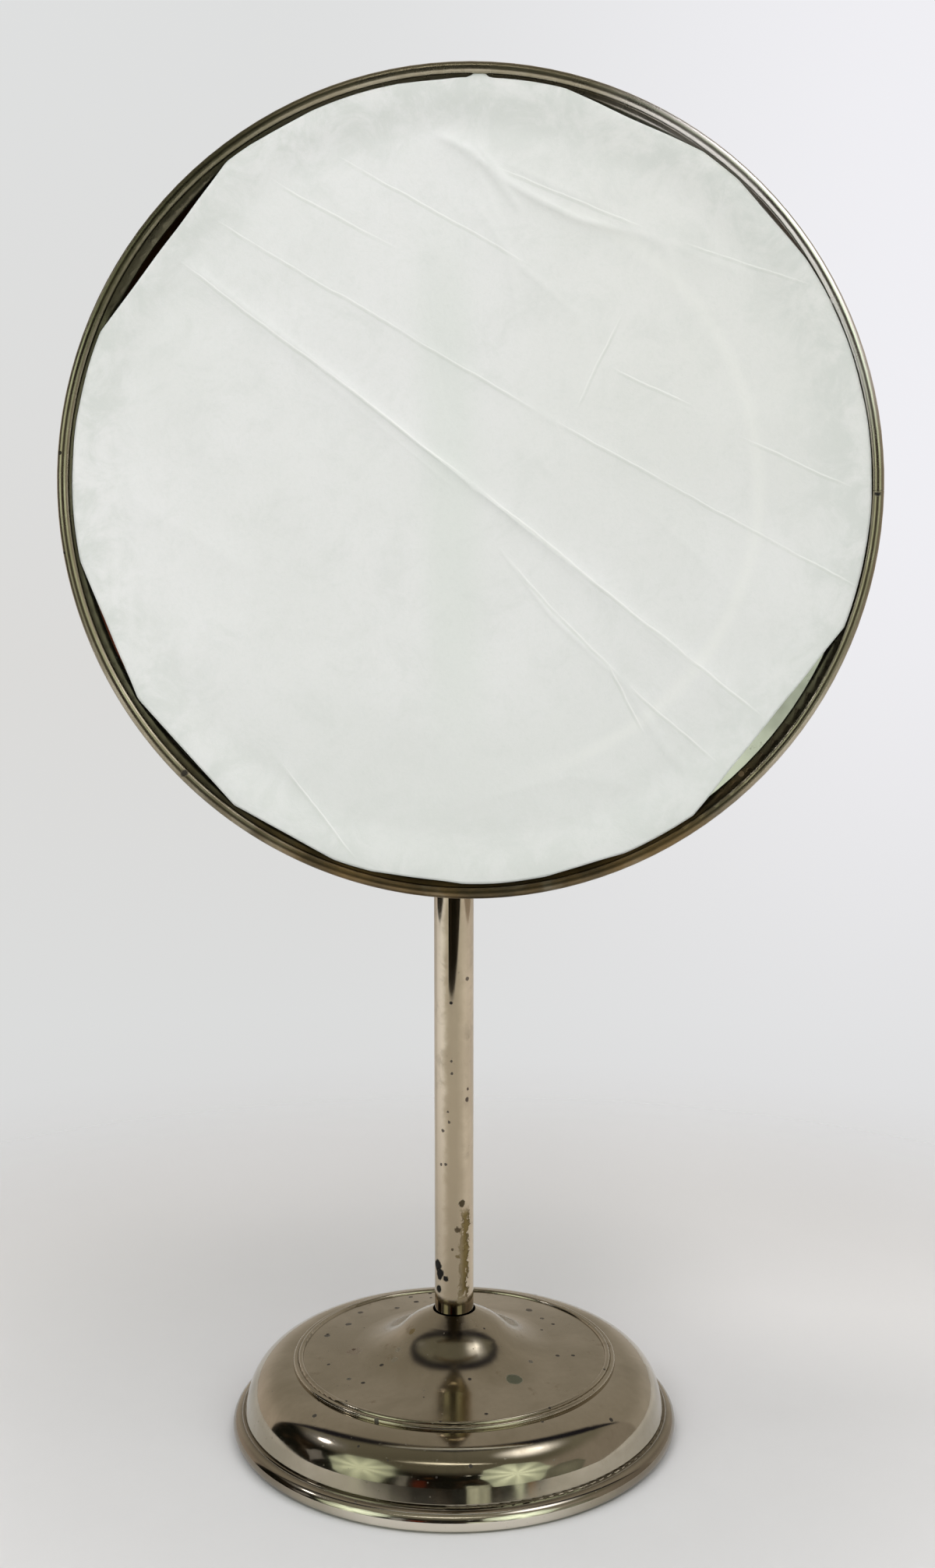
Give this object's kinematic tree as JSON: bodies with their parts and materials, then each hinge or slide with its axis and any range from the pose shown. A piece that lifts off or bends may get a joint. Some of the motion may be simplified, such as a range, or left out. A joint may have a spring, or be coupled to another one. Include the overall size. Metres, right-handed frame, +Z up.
{
  "type": "pedestal mirror",
  "caption": "Free-standing round pedestal mirror: tilting, swivelling nickel head on a tube stem and weighted round base, its glass masked with paper.",
  "frame": {"origin": "centre of the felt resting face under the base, on the stem's axis", "axes": "+Z up the stem, the glass faces -Y at rest, the tilt axis runs along X"},
  "size_m": [0.2418, 0.1446, 0.4218],
  "materials": {
    "nickel_rim": "aged nickel plate over brass, warm brown tarnish, small pits",
    "nickel_stem": "polished nickel plate, chipped and stained near the foot",
    "nickel_base": "polished nickel plate, dulled and pitted",
    "nickel_fittings": "nickel-plated brass fittings, lightly tarnished",
    "steel_fixings": "plain steel rod, nut and washers",
    "painted_back": "dark japanned pressed sheet",
    "mirror_glass": "silvered plate glass, aged silvering",
    "card": "brown backing card",
    "cast_weight": "rough casting",
    "felt": "green felt",
    "fibre": "red vulcanised fibre washer",
    "rivet_copper": "brass rivets and washers",
    "paper": "thin white paper, creased"
  },
  "bodies": {
    "root": {"base_shell": "nickel_base", "base_weight": "cast_weight", "felt_pad": "felt", "rod_washer": "steel_fixings", "rod_nut": "steel_fixings", "tie_rod": "steel_fixings", "foot_bush": "nickel_fittings", "stem_tube": "nickel_stem", "top_bush": "nickel_fittings", "swivel_screw": "nickel_fittings"},
    "swivel": {"swivel_knuckle": "nickel_fittings", "friction_washer": "fibre", "spring_washer": "steel_fixings"},
    "head": {"hinge_bolt": "nickel_fittings", "tilt_bracket": "nickel_fittings", "bracket_rivets": "rivet_copper", "rivet_washers": "rivet_copper", "rim": "nickel_rim", "mirror_glass": "mirror_glass", "backing_card": "card", "back_pan": "painted_back", "paper_cover": "paper"},
    "nut": {"thumb_nut": "nickel_fittings"}
  },
  "joints": [
    {"name": "head_swivel", "type": "hinge", "parent": "root", "child": "swivel", "pos_m": [0, 0, 0.27], "axis": [0, 0, 1], "continuous": true},
    {"name": "head_tilt", "type": "hinge", "parent": "swivel", "child": "head", "pos_m": [0, 0, 0.3009], "axis": [1, 0, 0], "range_deg": [-105, 8]},
    {"name": "thumb_nut_turn", "type": "hinge", "parent": "head", "child": "nut", "pos_m": [-0.008, 0, 0.3009], "axis": [1, 0, 0], "continuous": true}
  ]
}
